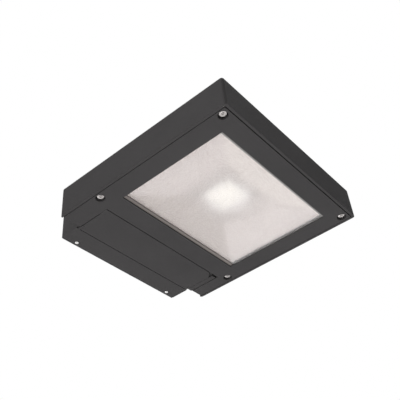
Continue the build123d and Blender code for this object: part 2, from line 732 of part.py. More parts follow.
with BuildPart() as lens_channel:
    with BuildSketch(Plane.YZ):
        with BuildLine():
            Polyline((channel_start_y, lip_z), (glass_rear_y + channel_sheet, lip_z),
                     (glass_rear_y + channel_sheet, glass_top_z + channel_sheet),
                     (glass_rear_y - channel_cap, glass_top_z + channel_sheet),
                     (glass_rear_y - channel_cap, glass_top_z),
                     (glass_rear_y, glass_top_z), (glass_rear_y, glass_z), (channel_start_y, glass_z), close=True)
        make_face()
    extrude(amount=glass_half - lens_corner, both=True)

with BuildPart() as lens_clips:
    clip_top = lens_rim_height + clip_sheet
    clip_planes = [Plane(origin=(x, opening_mid_y - rim_half_length, face_z), x_dir=(0, -1, 0), z_dir=(-1, 0, 0))
                   for x in (-clip_pitch, 0, clip_pitch)]
    clip_planes += [Plane(origin=(side * rim_half, opening_mid_y + y, face_z), x_dir=(side, 0, 0),
                          z_dir=(0, -side, 0)) for side in (-1, 1) for y in (-clip_pitch / 2, clip_pitch / 2)]
    for clip_plane in clip_planes:
        with BuildSketch(clip_plane) as clip:
            with BuildLine():
                Polyline((lens_rim, lens_rim_height), (lens_rim, lens_rim_height - clip_leg),
                         (lens_rim + clip_sheet, lens_rim_height - clip_leg), (lens_rim + clip_sheet, clip_top),
                         (-clip_reach - clip_sheet, clip_top), (-clip_reach - clip_sheet, glass_top_z - face_z),
                         (-clip_reach, glass_top_z - face_z), (-clip_reach, lens_rim_height), close=True)
            make_face()
        extrude(clip.sketch, amount=clip_length / 2, both=True)

# Door seal, glued to the door around the lens rim
with BuildPart() as door_seal:
    with BuildSketch(Plane.XY.offset(plate_top_z)):
        frame_band(seal_half, seal_half_length, seal_width, lens_corner)
    extrude(amount=seal_height)

# Heat block: an extruded bar with open cells between its base and its flanged top
with BuildPart() as heat_block:
    heat_block_height = heat_pad_z - heat_block_z
    with BuildSketch(Plane.XZ.offset(-opening_mid_y - heat_block_length / 2)):
        with Locations((0, heat_block_z + heat_block_height / 2)):
            Rectangle(heat_block_width, heat_block_height)
        with Locations((0, heat_pad_z - heat_block_top / 2)):
            Rectangle(heat_block_flange, heat_block_top)
        cell_width = (heat_block_width - (heat_block_cells + 1) * heat_block_rib) / heat_block_cells
        cell_height = heat_block_height - heat_block_base - heat_block_top
        with Locations((0, heat_block_z + heat_block_base + cell_height / 2)):
            with GridLocations(cell_width + heat_block_rib, 0, heat_block_cells, 1):
                Rectangle(cell_width, cell_height, mode=Mode.SUBTRACT)
    extrude(amount=heat_block_length)
    with Locations(*[Location((x, y, heat_pad_z - heat_block_top), (180, 0, 0)) for x, y in heat_screw_spots]):
        Hole(small_screw_radius + screw_hole_clearance, heat_block_top)
    reflector_screw_spots = [(x, opening_mid_y + y) for x in (-reflector_screw_spot, reflector_screw_spot)
                             for y in (-reflector_screw_spot, reflector_screw_spot)]
    with Locations(*[Location((x, y, heat_block_z), (180, 0, 0)) for x, y in reflector_screw_spots]):
        Hole(reflector_screw_radius + thread_clearance, heat_block_base - blind_hole_land)

with BuildPart() as heat_block_screws:
    hex_screws(heat_screw_spots, heat_pad_z - heat_block_top, small_screw_radius, heat_block_top + heat_pad_height,
               small_head_radius, small_head_height)

with BuildPart() as thermal_pad:
    with BuildSketch(Plane.XY.offset(board_top_z)):
        with Locations((0, opening_mid_y)):
            Rectangle(board_width, heat_block_length - 2 * board_inset)
        with Locations(*reflector_screw_spots):
            Circle(reflector_screw_radius + screw_hole_clearance, mode=Mode.SUBTRACT)
    extrude(amount=thermal_pad_thickness)

with BuildPart() as led_board:
    with BuildSketch(Plane.XY.offset(board_z)):
        with Locations((0, board_mid_y)):
            Rectangle(board_width, board_length)
        with Locations(*reflector_screw_spots):
            Circle(reflector_screw_radius + screw_hole_clearance, mode=Mode.SUBTRACT)
    extrude(amount=board_thickness)

with BuildPart() as led_emitters:
    with BuildSketch(Plane.XY.offset(board_z - emitter_height)):
        with Locations((0, opening_mid_y)):
            with GridLocations(emitter_step, emitter_step, emitter_rows, emitter_rows):
                RectangleRounded(emitter_size, emitter_size, emitter_corner)
    extrude(amount=emitter_height)

connector_mid_y = board_rear_y - connector_length / 2 - connector_inset
with BuildPart() as board_connector:
    block((-connector_width / 2, connector_width / 2),
          (connector_mid_y - connector_length / 2, connector_mid_y + connector_length / 2),
          (board_top_z, board_top_z + connector_height))
    led_wire_z = board_top_z + connector_height / 2
    for side in (-1, 1):
        socket_plane = Plane(origin=(side * connector_width / 4, connector_mid_y + connector_length / 2, led_wire_z),
                             z_dir=(0, -1, 0))
        rod(socket_plane, wire_radius + press_clearance, connector_length / 2, Mode.SUBTRACT)

# Reflector: four sloping sides around a flat top with a square window
with BuildPart() as reflector:
    reflector_top_z = board_z - reflector_sheet
    for lift, mode in ((reflector_sheet, Mode.ADD), (0.0, Mode.SUBTRACT)):
        if mode == Mode.ADD:
            with BuildSketch(Plane.XY.offset(reflector_z)) as skirt:
                with Locations((0, opening_mid_y)):
                    Rectangle(2 * reflector_half, 2 * reflector_half_length)
            extrude(skirt.sketch, amount=reflector_sheet)
        with BuildSketch(Plane.XY.offset(reflector_z + lift)) as mouth:
            with Locations((0, opening_mid_y)):
                Rectangle(2 * reflector_half - reflector_sheet, 2 * reflector_half_length - reflector_sheet)
        with BuildSketch(Plane.XY.offset(reflector_top_z + lift)) as crown:
            with Locations((0, opening_mid_y)):
                Rectangle(reflector_flat, reflector_flat)
        loft([mouth.sketch.face(), crown.sketch.face()], ruled=True, mode=mode)
    with BuildSketch(Plane.XY.offset(reflector_top_z)) as window:
        with Locations((0, opening_mid_y)):
            Rectangle(reflector_window, reflector_window)
        with Locations(*reflector_screw_spots):
            Circle(reflector_screw_radius + screw_hole_clearance)
    extrude(window.sketch, amount=reflector_sheet, mode=Mode.SUBTRACT)

with BuildPart() as reflector_screws:
    hex_screws(reflector_screw_spots, reflector_top_z, reflector_screw_radius,
               reflector_sheet + board_thickness + thermal_pad_thickness + heat_block_base - 2 * blind_hole_land,
               reflector_screw_head_radius, reflector_screw_radius)

# Driver: a sealed case with a tab at each end, hung under the wiring box's ceiling
with BuildPart() as driver:
    with BuildSketch(Plane.XY.offset(driver_z)):
        with Locations((driver_centre_x, driver_mid_y)):
            RectangleRounded(driver_length, driver_depth, driver_corner)
    extrude(amount=driver_height)
    fillet(driver.faces().sort_by(Axis.Z)[0].edges(), driver_edge)
    with BuildSketch(Plane.XY.offset(box_ceiling_z - driver_tab_thickness)):
        with Locations((driver_centre_x, driver_mid_y)):
            SlotOverall(driver_length + 2 * driver_tab, 2 * driver_tab)
    extrude(amount=driver_tab_thickness)
    with Locations(*[Location((x, y, box_ceiling_z - driver_tab_thickness), (180, 0, 0))
                     for x, y in driver_screw_spots]):
        Hole(small_screw_radius + screw_hole_clearance, driver_tab_thickness)

with BuildPart() as driver_screws:
    hex_screws(driver_screw_spots, box_ceiling_z - driver_tab_thickness, small_screw_radius,
               driver_tab_thickness + box_wall + small_screw_bite, small_head_radius, small_head_height)

# Terminal block on the upright wall inside the wall part, with a row of wire funnels below and above
terminal_top_z = terminal_floor_z + terminal_height
terminal_mid_z = terminal_floor_z + terminal_height / 2
terminal_mid_y = box_web_y + terminal_depth / 2
terminal_pitch = terminal_width / (terminal_poles + 1)
terminal_x = [terminal_centre_x + (i - 1) * terminal_pitch for i in range(terminal_poles)]
with BuildPart() as terminal_block:
    with BuildSketch(Plane.XY.offset(terminal_floor_z)):
        with Locations((terminal_centre_x, terminal_mid_y)):
            Rectangle(terminal_width, terminal_depth)
    extrude(amount=terminal_height)
    chamfer(terminal_block.faces().sort_by(Axis.Y)[-1].edges(), terminal_chamfer)
    for x in terminal_x:
        for z, up in ((terminal_floor_z, 1), (terminal_top_z, -1)):
            funnel = Plane(origin=(x, terminal_mid_y, z), z_dir=(0, 0, up))
            rod(funnel, wire_radius + press_clearance, terminal_funnel_depth, Mode.SUBTRACT)
        screw_pocket = Plane(origin=(x, terminal_mid_y + terminal_depth / 2, terminal_mid_z), z_dir=(0, -1, 0))
        rod(screw_pocket, terminal_pocket_radius, terminal_pocket_depth, Mode.SUBTRACT)

with BuildPart() as terminal_screws:
    for x in terminal_x:
        screw_floor_y = terminal_mid_y + terminal_depth / 2 - terminal_pocket_depth
        screw_plane = Plane(origin=(x, screw_floor_y, terminal_mid_z), z_dir=(0, 1, 0))
        rod(screw_plane, terminal_screw_radius, terminal_screw_height)
        with BuildSketch(screw_plane.offset(terminal_screw_height / 2)) as drive_slot:
            Rectangle(2 * small_head_radius, drive_slot_width)
        extrude(drive_slot.sketch, amount=terminal_screw_height, mode=Mode.SUBTRACT)

# Surge protector beside it, on two tabs
with BuildPart() as surge_protector:
    with BuildSketch(Plane.XY.offset(surge_mid_z - surge_height / 2)):
        with Locations((surge_centre_x, box_web_y + surge_depth / 2)):
            Rectangle(surge_width, surge_depth)
    extrude(amount=surge_height)
    fillet(surge_protector.faces().sort_by(Axis.Y)[-1].edges(), surge_edge)
    with BuildSketch(Plane.XZ.offset(-box_web_y - driver_tab_thickness)):
        with Locations((surge_centre_x, surge_mid_z)):
            SlotOverall(surge_width + 2 * surge_tab, surge_tab_height)
    extrude(amount=driver_tab_thickness)
    surge_screw_x = [surge_centre_x + side * (surge_width + surge_tab) / 2 for side in (-1, 1)]
    for x in surge_screw_x:
        rod(Plane(origin=(x, box_web_y - cut_past, surge_mid_z), z_dir=(0, 1, 0)),
            small_screw_radius + screw_hole_clearance, driver_tab_thickness + 2 * cut_past, Mode.SUBTRACT)

with BuildPart() as surge_screws:
    for x in surge_screw_x:
        head_plane = Plane(origin=(x, box_web_y + driver_tab_thickness, surge_mid_z), z_dir=(0, 1, 0))
        with BuildSketch(head_plane) as head:
            Circle(small_head_radius)
        extrude(head.sketch, amount=small_head_height)
        with BuildSketch(head_plane.offset(small_head_height / 2)) as socket:
            RegularPolygon(hex_socket_ratio * small_head_radius, 6)
        extrude(socket.sketch, amount=small_head_height, mode=Mode.SUBTRACT)

# Ground screw on the same wall
ground_x = terminal_centre_x - terminal_width / 2 - ground_screw_gap
ground_z = terminal_mid_z
with BuildPart() as ground_screw:
    ground_plane = Plane(origin=(ground_x, box_web_y + 2 * wire_radius, ground_z), z_dir=(0, 1, 0))
    rod(ground_plane, ground_head_radius, small_head_height)
    rod(Plane(origin=(ground_x, box_web_y, ground_z), z_dir=(0, 1, 0)), small_screw_radius, 2 * wire_radius)
    with BuildSketch(ground_plane.offset(small_head_height / 2)) as drive_slot:
        Rectangle(3 * small_head_radius, drive_slot_width)
    extrude(drive_slot.sketch, amount=small_head_height, mode=Mode.SUBTRACT)

# Rubber grommets where the LED leads pass the wiring box's wall and the sealing rib
rib_mid_y = seal_rear_y
wall_mid_y = (box_front_y + box_inner_front_y) / 2
with BuildPart() as lead_grommets:
    for mid_y, thickness in ((wall_mid_y, box_wall), (rib_mid_y, seal_rib)):
        for start_y, length, radius in ((mid_y - thickness / 2 - grommet_lip, grommet_lip, grommet_radius),
                                        (mid_y - thickness / 2, thickness, grommet_radius - grommet_lip),
                                        (mid_y + thickness / 2, grommet_lip, grommet_radius)):
            rod(Plane(origin=(led_lead_x, start_y, grommet_z), z_dir=(0, 1, 0)), radius, length)
        for rise in (-wire_gap, wire_gap):
            bore = Plane(origin=(led_lead_x, mid_y - thickness - grommet_lip, grommet_z + rise), z_dir=(0, 1, 0))
            rod(bore, wire_radius + wire_bore_play, 2 * (thickness + grommet_lip), Mode.SUBTRACT)


def wire(points, radii):
    """A round wire along straight runs joined by arcs."""
    with BuildLine() as route:
        FilletPolyline(*points, radius=radii)
    start = Plane(origin=route.line @ 0, z_dir=route.line % 0)
    with BuildSketch(start) as section:
        Circle(wire_radius)
    sweep(section.sketch, path=route.line)


# LED leads: from the driver's right end, through both grommets and over the reflector to the board
led_leads = []
for side in (-1, 1):
    rise = side * wire_gap
    end_x = side * connector_width / 4
    with BuildPart() as lead:
        wire([(driver_right_x, driver_mid_y, grommet_z + rise),
              (led_lead_x, driver_mid_y, grommet_z + rise),
              (led_lead_x, seal_rear_y - 3 * led_bend - rise, grommet_z + rise),
              (end_x, seal_rear_y - 3 * led_bend - rise, led_wire_z),
              (end_x, connector_mid_y, led_wire_z)],
             [led_bend / 2, led_bend, led_bend / 2])
    led_leads.append(lead)

# Supply leads: from the driver's left end, round its corner and up into the terminal block
supply_leads = []
for i, x in enumerate(terminal_x):
    start_y = driver_mid_y + (i - 1) * 2 * supply_bend
    start_z = driver_z + driver_height / 2
    with BuildPart() as lead:
        wire([(driver_left_x, start_y, start_z), (x, start_y, start_z), (x, terminal_mid_y, start_z),
              (x, terminal_mid_y, terminal_floor_z + supply_bend)], [corner_bend, 2 * supply_bend])
    supply_leads.append(lead)

# Ground bond: from the terminal block's top over to the ground screw
with BuildPart() as ground_bond:
    clamp_y = box_web_y + wire_radius
    bond_z = terminal_top_z + bond_rise
    wire([(terminal_x[0], terminal_mid_y, terminal_top_z - supply_bend), (terminal_x[0], terminal_mid_y, bond_z),
          (ground_x, clamp_y, bond_z), (ground_x, clamp_y, ground_z + small_screw_radius)],
         [supply_bend, supply_bend])

# Surge protector leads: over the terminal block and down into it
surge_leads = []
for i in (1, 2):
    lead_z = terminal_top_z + supply_bend + surge_lead_gap * (2 - i)
    with BuildPart() as lead:
        wire([(surge_left_x, terminal_mid_y, lead_z), (terminal_x[i], terminal_mid_y, lead_z),
              (terminal_x[i], terminal_mid_y, terminal_top_z - supply_bend)], [corner_bend])
    surge_leads.append(lead)

pieces = {
    "housing": housing, "wiring_box": wiring_box, "wall_gasket": wall_gasket, "wall_plate": wall_plate,
    "flange_nuts": flange_nuts, "box_screws": box_screws, "housing_screws": housing_screws,
    "cover_pin": cover_pin, "wiring_cover": wiring_cover, "cover_springs": cover_springs,
    "door_frame": door_frame, "door_pins": door_pins, "door_screws": door_screws,
    "screw_retainers": screw_retainers, "lens": lens, "lens_gasket": lens_gasket_frame,
    "lens_channel": lens_channel, "lens_clips": lens_clips, "door_seal": door_seal,
    "heat_block": heat_block, "heat_block_screws": heat_block_screws, "thermal_pad": thermal_pad,
    "led_board": led_board, "led_emitters": led_emitters, "board_connector": board_connector,
    "reflector": reflector, "reflector_screws": reflector_screws, "driver": driver,
    "driver_screws": driver_screws, "terminal_block": terminal_block, "terminal_screws": terminal_screws,
    "surge_protector": surge_protector, "surge_screws": surge_screws, "ground_screw": ground_screw,
    "lead_grommets": lead_grommets, "led_lead_minus": led_leads[0], "led_lead_plus": led_leads[1],
    "ground_lead": supply_leads[0], "line_lead": supply_leads[1], "neutral_lead": supply_leads[2],
    "ground_bond": ground_bond, "surge_lead_line": surge_leads[0], "surge_lead_neutral": surge_leads[1],
}
for name, piece in pieces.items():
    piece.part.label = name
    export_step(piece.part, f"parts/{name}.step")
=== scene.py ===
import bmesh
import bpy
import json
import math
import numpy as np
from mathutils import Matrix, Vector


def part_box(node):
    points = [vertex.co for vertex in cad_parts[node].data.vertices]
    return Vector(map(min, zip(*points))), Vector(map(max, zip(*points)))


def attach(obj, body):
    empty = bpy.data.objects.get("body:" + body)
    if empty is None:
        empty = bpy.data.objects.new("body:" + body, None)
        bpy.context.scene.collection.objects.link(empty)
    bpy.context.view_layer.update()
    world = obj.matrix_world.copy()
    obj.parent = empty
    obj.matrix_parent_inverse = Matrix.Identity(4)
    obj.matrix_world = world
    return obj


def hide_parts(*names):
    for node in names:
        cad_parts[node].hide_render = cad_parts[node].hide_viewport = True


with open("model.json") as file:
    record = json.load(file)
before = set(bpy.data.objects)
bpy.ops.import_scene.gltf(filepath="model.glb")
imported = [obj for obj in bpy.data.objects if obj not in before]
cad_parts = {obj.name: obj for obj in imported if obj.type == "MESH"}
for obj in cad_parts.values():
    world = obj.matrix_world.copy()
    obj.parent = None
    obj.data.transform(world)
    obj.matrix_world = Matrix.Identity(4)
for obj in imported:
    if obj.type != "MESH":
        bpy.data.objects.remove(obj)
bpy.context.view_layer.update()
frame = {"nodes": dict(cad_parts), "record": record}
nodes = frame["nodes"]
mm = 0.001
print("frame loaded:", len(nodes), "nodes")


class Wire:  # one output socket; + - * / on it add Math nodes
    def __init__(self, finish, socket):
        self.finish = finish
        self.socket = socket

    def do(self, operation, *others):
        return self.finish.maths(operation, self, *others)

    def __add__(self, other): return self.do("ADD", other)
    def __sub__(self, other): return self.do("SUBTRACT", other)
    def __mul__(self, other): return self.do("MULTIPLY", other)
    def __truediv__(self, other): return self.do("DIVIDE", other)
    def __rsub__(self, other): return self.finish.maths("SUBTRACT", other, self)
    def __rtruediv__(self, other): return self.finish.maths("DIVIDE", other, self)
    def __abs__(self): return self.do("ABSOLUTE")
    __radd__ = __add__
    __rmul__ = __mul__


class Finish:  # the nodes of one material, or of the world
    def __init__(self, name, kind="materials"):
        self.owner = getattr(bpy.data, kind).new(name)
        self.owner.use_nodes = True
        self.tree = self.owner.node_tree
        self.tree.nodes.clear()

    def node(self, kind, settings=None, values=None, output=0):
        made = self.tree.nodes.new(kind)
        for key, value in (settings or {}).items():
            setattr(made, key, value)
        for key, value in (values or {}).items():
            if isinstance(value, Wire):
                self.tree.links.new(value.socket, made.inputs[key])
            else:
                made.inputs[key].default_value = value
        return Wire(self, made.outputs[output]) if len(made.outputs) else None

    def maths(self, operation, *values):
        return self.node("ShaderNodeMath", {"operation": operation}, dict(enumerate(values)))

    def place(self):
        return self.node("ShaderNodeTexCoord", output="Object")

    def axes(self, place):
        parts = self.node("ShaderNodeSeparateXYZ", {}, {0: place})
        return [Wire(self, output) for output in parts.socket.node.outputs]

    def noise(self, place, scale, detail=2.0, roughness=0.5, stretch=None):
        if stretch:
            place = self.node("ShaderNodeMapping", {}, {"Vector": place, "Scale": stretch})
        return self.node("ShaderNodeTexNoise", {}, {"Vector": place, "Scale": scale,
                                                    "Detail": detail, "Roughness": roughness})

    def blend(self, amount, first, second):
        return self.node("ShaderNodeMix", {"data_type": "RGBA"},
                         {0: amount, 6: first, 7: second}, output=2)

    def spread(self, wire, low, high, newLow=0.0, newHigh=1.0):
        return self.node("ShaderNodeMapRange", {},
                         {0: wire, 1: low, 2: high, 3: newLow, 4: newHigh})

    def ranged(self, noise, newLow=0.0, newHigh=1.0):
        # a noise keeps mostly within 0.3 and 0.7
        return self.spread(noise, 0.3, 0.7, newLow, newHigh)

    def surface(self, values, bumps=(), softEdge=0.0):
        # bumps: (height, distance in metres) pairs; softEdge rounds sharp edges in the shading
        normal = None
        if softEdge:
            normal = self.node("ShaderNodeBevel", {"samples": 4}, {"Radius": softEdge})
        for height, distance in bumps:
            inputs = {"Height": height, "Distance": distance, "Strength": 1.0}
            if normal is not None:
                inputs["Normal"] = normal
            normal = self.node("ShaderNodeBump", {}, inputs)
        if normal is not None:
            values = {**values, "Normal": normal}
        shader = self.node("ShaderNodeBsdfPrincipled", {}, values)
        self.node("ShaderNodeOutputMaterial", {}, {"Surface": shader})
        return self.owner


def rgb(red, green, blue):
    return (red, green, blue, 1.0)


def meshObject(name, points, faces, material, smooth=True):
    mesh = bpy.data.meshes.new(name)
    mesh.from_pydata(np.asarray(points).tolist(), [], [list(face) for face in faces])
    mesh.materials.append(material)
    mesh.shade_smooth() if smooth else mesh.shade_flat()
    made = bpy.data.objects.new(name, mesh)
    bpy.context.scene.collection.objects.link(made)
    return made


def closePoles(made):
    # merges the points that a surface repeats at its poles, and drops points that no face uses
    mesh = bmesh.new()
    mesh.from_mesh(made.data)
    bmesh.ops.remove_doubles(mesh, verts=mesh.verts, dist=1e-7)
    loose = [point for point in mesh.verts if not point.link_faces]
    bmesh.ops.delete(mesh, geom=loose, context="VERTS")
    mesh.to_mesh(made.data)
    mesh.free()


def gridFaces(rows, columns, start=0, closeRows=False, closeColumns=False, flip=False):
    # quads between neighbours of a rows x columns grid of points, numbered from start
    r = np.arange(rows if closeRows else rows - 1)
    c = np.arange(columns if closeColumns else columns - 1)
    r, c = [a.ravel() for a in np.meshgrid(r, c, indexing="ij")]
    nextR, nextC = (r + 1) % rows, (c + 1) % columns
    corners = ((r, c), (r, nextC), (nextR, nextC), (nextR, c))
    quads = np.stack([row * columns + column for row, column in corners], 1)
    return start + (quads[:, ::-1] if flip else quads)


paint = {
    "colour": rgb(0.0570, 0.0546, 0.0553),
    "shade": rgb(0.0488, 0.0467, 0.0474),
    "roughness": (0.73, 0.84),
    "shine": 0.035,
    "cloudScale": 9.0,
    "grainScale": 1500.0,
    "rippleScale": 320.0,
    "grainHeight": 0.022 * mm,
    "rippleHeight": 0.030 * mm,
    "edge": 0.35 * mm,
}


def powderCoat():
    f = Finish("powderCoat")
    here = f.place()
    grain = f.noise(here, paint["grainScale"], 2.0, 0.6)
    ripple = f.noise(here, paint["rippleScale"], 1.0, 0.5)
    cloud = f.noise(here, paint["cloudScale"], 3.0, 0.5)
    shade = f.spread(cloud * 0.7 + grain * 0.3, 0.35, 0.65)
    colour = f.blend(shade, paint["shade"], paint["colour"])
    return f.surface({"Base Color": colour, "Roughness": f.ranged(ripple, *paint["roughness"]),
                      "Specular IOR Level": paint["shine"]},
                     [(ripple, paint["rippleHeight"]), (grain, paint["grainHeight"])],
                     paint["edge"])


metalLook = {
    "streakScale": 900.0,
    "streakHeight": 0.01 * mm,
    "cloudScale": 60.0,
    "smoother": 0.08,  # how far the roughness goes below and above its middle
    "rougher": 0.10,
    "edge": 0.2 * mm,
}


def metalFinish(name, colour, dark, roughness, brush=None):
    f = Finish(name)
    here = f.place()
    streak = f.noise(here, metalLook["streakScale"], 3.0, 0.6, brush)
    cloud = f.noise(here, metalLook["cloudScale"], 3.0, 0.5)
    tint = f.blend(f.ranged(cloud), dark, colour)
    rough = f.ranged(streak * 0.6 + cloud * 0.4, roughness - metalLook["smoother"],
                     roughness + metalLook["rougher"])
    return f.surface({"Base Color": tint, "Metallic": 1.0, "Roughness": rough},
                     [(streak, metalLook["streakHeight"])], metalLook["edge"])


plainLook = {
    "grainScale": 500.0,
    "grainHeight": 0.02 * mm,
    "cloudScale": 30.0,
    "smoother": 0.06,  # how far the roughness goes below and above its middle
    "rougher": 0.08,
    "edge": 0.3 * mm,
}


def plainFinish(name, colour, shade, roughness, metallic=0.0):
    f = Finish(name)
    here = f.place()
    grain = f.noise(here, plainLook["grainScale"], 3.0, 0.6)
    cloud = f.noise(here, plainLook["cloudScale"], 2.0, 0.5)
    tint = f.blend(f.spread(cloud * 0.6 + grain * 0.4, 0.35, 0.65), shade, colour)
    rough = f.ranged(grain, roughness - plainLook["smoother"], roughness + plainLook["rougher"])
    return f.surface({"Base Color": tint, "Roughness": rough, "Metallic": metallic},
                     [(grain, plainLook["grainHeight"])], plainLook["edge"])


# painted light: the glow colours, the halo and wallStrength give the reflector an emission that
# stands in for the LEDs' light falling on it; boardStrength does the same for the board
source = {
    "centreY": -230.5 * mm,
    "flatHalf": 36.0 * mm,
    "slope": 1.6,
    "creaseHalf": 3.0 * mm,
    "crownFade": 30.0 * mm,
    "coat": rgb(0.52, 0.50, 0.495),
    "coatShade": rgb(0.47, 0.455, 0.45),
    "coatRoughness": (0.50, 0.60),
    "coatGrain": 700.0,
    "coatGrainHeight": 0.015 * mm,
    "phosphor": rgb(0.86, 0.74, 0.42),
    "phosphorShade": rgb(0.90, 0.80, 0.52),
    "phosphorRoughness": 0.45,
    "phosphorGrain": 2600.0,
    "phosphorGrainHeight": 0.02 * mm,
    "glow": rgb(0.965, 0.975, 0.975),
    "emitterStrength": 1.28,
    "boardStrength": 0.35,
    "wallStrength": 1.15,
    "leftGlow": rgb(0.248, 0.206, 0.198),
    "rightGlow": rgb(0.251, 0.208, 0.198),
    "frontGlow": rgb(0.332, 0.292, 0.267),
    "rearGlow": rgb(0.073, 0.035, 0.018),
    "crownGlow": rgb(0.048, 0.017, 0.010),
    "halo": rgb(0.470, 0.458, 0.455),
    "haloX": 6.0 * mm,
    "haloInner": 21.0 * mm,
    "haloOuter": 57.0 * mm,
}


def haloAround(f, x, along):
    # the mask of the painted pool of light round the emitters: 1 under their middle, 0 well
    # outside them
    across = x - source["haloX"]
    reach = (across * across + along * along).do("SQRT")
    return f.node("ShaderNodeMapRange", {"interpolation_type": "SMOOTHSTEP"},
                  {0: reach, 1: source["haloInner"], 2: source["haloOuter"], 3: 1.0, 4: 0.0})


def reflectorPaintedGlow():
    # painted light: each sloping side has its own share of the LEDs' light painted into its
    # emission, and so has the flat crown in the middle; a painted pool of light lies under the
    # emitters
    f = Finish("reflectorWhitePaintedGlow")
    here = f.place()
    x, y, z = f.axes(here)
    grain = f.noise(here, source["coatGrain"], 3.0, 0.6)
    along = y - source["centreY"]
    outX = abs(x) - source["flatHalf"]
    outY = (abs(along) - source["flatHalf"]) * source["slope"]
    sideways = f.spread(outX - outY, -source["creaseHalf"], source["creaseHalf"])
    ends = f.blend(f.spread(along, -mm, mm), source["frontGlow"], source["rearGlow"])
    flanks = f.blend(f.spread(x, -mm, mm), source["leftGlow"], source["rightGlow"])
    glow = f.blend(sideways, ends, flanks)
    near = f.spread(outX.do("MAXIMUM", outY), source["crownFade"], -2.0 * mm)
    glow = f.blend(near, glow, source["crownGlow"])
    halo = haloAround(f, x, along)
    glow = f.blend(halo * halo, glow, source["halo"])
    return f.surface({"Base Color": f.blend(grain * 0.3, source["coat"], source["coatShade"]),
                      "Roughness": f.ranged(grain, *source["coatRoughness"]),
                      "Emission Color": glow, "Emission Strength": source["wallStrength"]},
                     [(grain, source["coatGrainHeight"])])


def phosphorFinish():
    f = Finish("phosphor")
    grain = f.noise(f.place(), source["phosphorGrain"], 2.0, 0.6)
    tint = f.blend(f.spread(grain, 0.35, 0.65), source["phosphor"], source["phosphorShade"])
    return f.surface({"Base Color": tint, "Roughness": source["phosphorRoughness"],
                      "Emission Color": source["glow"],
                      "Emission Strength": source["emitterStrength"]},
                     [(grain, source["phosphorGrainHeight"])])


boardLook = {
    "mask": rgb(0.80, 0.80, 0.78),
    "track": rgb(0.70, 0.68, 0.58),
    "trackPitch": 4.5 * mm,
    "trackShow": 0.25,
    "roughness": 0.35,
    "grainScale": 1200.0,
    "grainHeight": 0.01 * mm,
}


def boardTracksAndPaintedGlow():
    # tracks under the white mask show as faint lines along y, one pitch apart; the emission paints
    # the emitters' light on the board, the glow colour under them fading to the halo colour
    f = Finish("boardWhitePaintedGlow")
    here = f.place()
    grain = f.noise(here, boardLook["grainScale"], 2.0, 0.5)
    x, y, z = f.axes(here)
    track = f.spread(abs((x / boardLook["trackPitch"]).do("FRACT") - 0.5), 0.40, 0.44)
    tint = f.blend(track * boardLook["trackShow"], boardLook["mask"], boardLook["track"])
    lit = f.blend(haloAround(f, x, y - source["centreY"]), source["halo"], source["glow"])
    return f.surface({"Base Color": tint, "Roughness": boardLook["roughness"],
                      "Emission Color": lit, "Emission Strength": source["boardStrength"]},
                     [(grain, boardLook["grainHeight"])])


foamLook = {
    "cellScale": 1100.0,
    "cellDepth": 0.12 * mm,
    "roughness": 0.9,
    "edge": 0.5 * mm,
}


def foamFinish(name, colour, shade):
    f = Finish(name)
    cells = f.node("ShaderNodeTexVoronoi", {"feature": "SMOOTH_F1"},
                   {"Vector": f.place(), "Scale": foamLook["cellScale"]})
    # the cells are painted darker in their pits, where the bump dips: painted shade in the pits
    tint = f.blend(f.spread(cells, 0.1, 0.7), shade, colour)
    return f.surface({"Base Color": tint, "Roughness": foamLook["roughness"]},
                     [(cells, foamLook["cellDepth"])], foamLook["edge"])


glassLook = {
    "tint": rgb(0.985, 0.965, 0.955),
    # painted shade in the valleys between the ridges
    "paintedValleyShade": rgb(0.930, 0.905, 0.895),
    "roughness": (0.24, 0.30),
    "clear": 0.80,
    "refraction": 1.45,
    "grainScale": 1800.0,
    "grainHeight": 0.02 * mm,
    "border": 7.0 * mm,
    "edge": 0.5 * mm,
    "pitch": 3.0 * mm,
    "ridge": 0.30 * mm,
    "samplesPerPrism": 4,
}


def frostedGlassWithPaintedValleys():
    # the valleys between the ridges run along lines one pitch apart, and are painted darker, as
    # painted shade where they catch less light
    f = Finish("frostedGlassWithPaintedValleys")
    here = f.place()
    x, y, z = f.axes(here)
    grain = f.noise(here, glassLook["grainScale"], 2.0, 0.6)
    low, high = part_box("lens")
    acrossX, acrossY = [
        abs(((place - (start + glassLook["border"])) / glassLook["pitch"]).do("FRACT") * 2.0 - 1.0)
        for place, start in ((x, low.x), (y, low.y))]
    paintedValleyShade = f.spread(acrossX.do("MAXIMUM", acrossY), 0.45, 1.0)
    tint = f.blend(paintedValleyShade * 0.8 + grain * 0.2, glassLook["tint"], glassLook["paintedValleyShade"])
    return f.surface({"Base Color": tint, "Roughness": f.ranged(grain, *glassLook["roughness"]),
                      "IOR": glassLook["refraction"], "Transmission Weight": glassLook["clear"]},
                     [(grain, glassLook["grainHeight"])])


channelLook = {
    "outer": rgb(0.150, 0.132, 0.124),
    # painted shade of the fold, on the strip beside the glass
    "inner": rgb(0.095, 0.085, 0.080),
    "foldY": -141.0 * mm,
    "foldBlur": 0.4 * mm,
    "metallic": 0.55,
    "roughness": (0.42, 0.58),
    "streakScale": 900.0,
    "streakStretch": (0.04, 1.0, 1.0),
    "streakHeight": 0.01 * mm,
}


def channelWithPaintedShade():
    # dulled aluminium; the strip beside the glass is painted darker, as painted shade of the fold
    f = Finish("channelAluminiumPaintedShade")
    here = f.place()
    x, y, z = f.axes(here)
    streak = f.noise(here, channelLook["streakScale"], 3.0, 0.6, channelLook["streakStretch"])
    fold, blur = channelLook["foldY"], channelLook["foldBlur"]
    tint = f.blend(f.spread(y, fold - blur, fold + blur), channelLook["inner"],
                   channelLook["outer"])
    return f.surface({"Base Color": tint, "Metallic": channelLook["metallic"],
                      "Roughness": f.ranged(streak, *channelLook["roughness"])},
                     [(streak, channelLook["streakHeight"])])


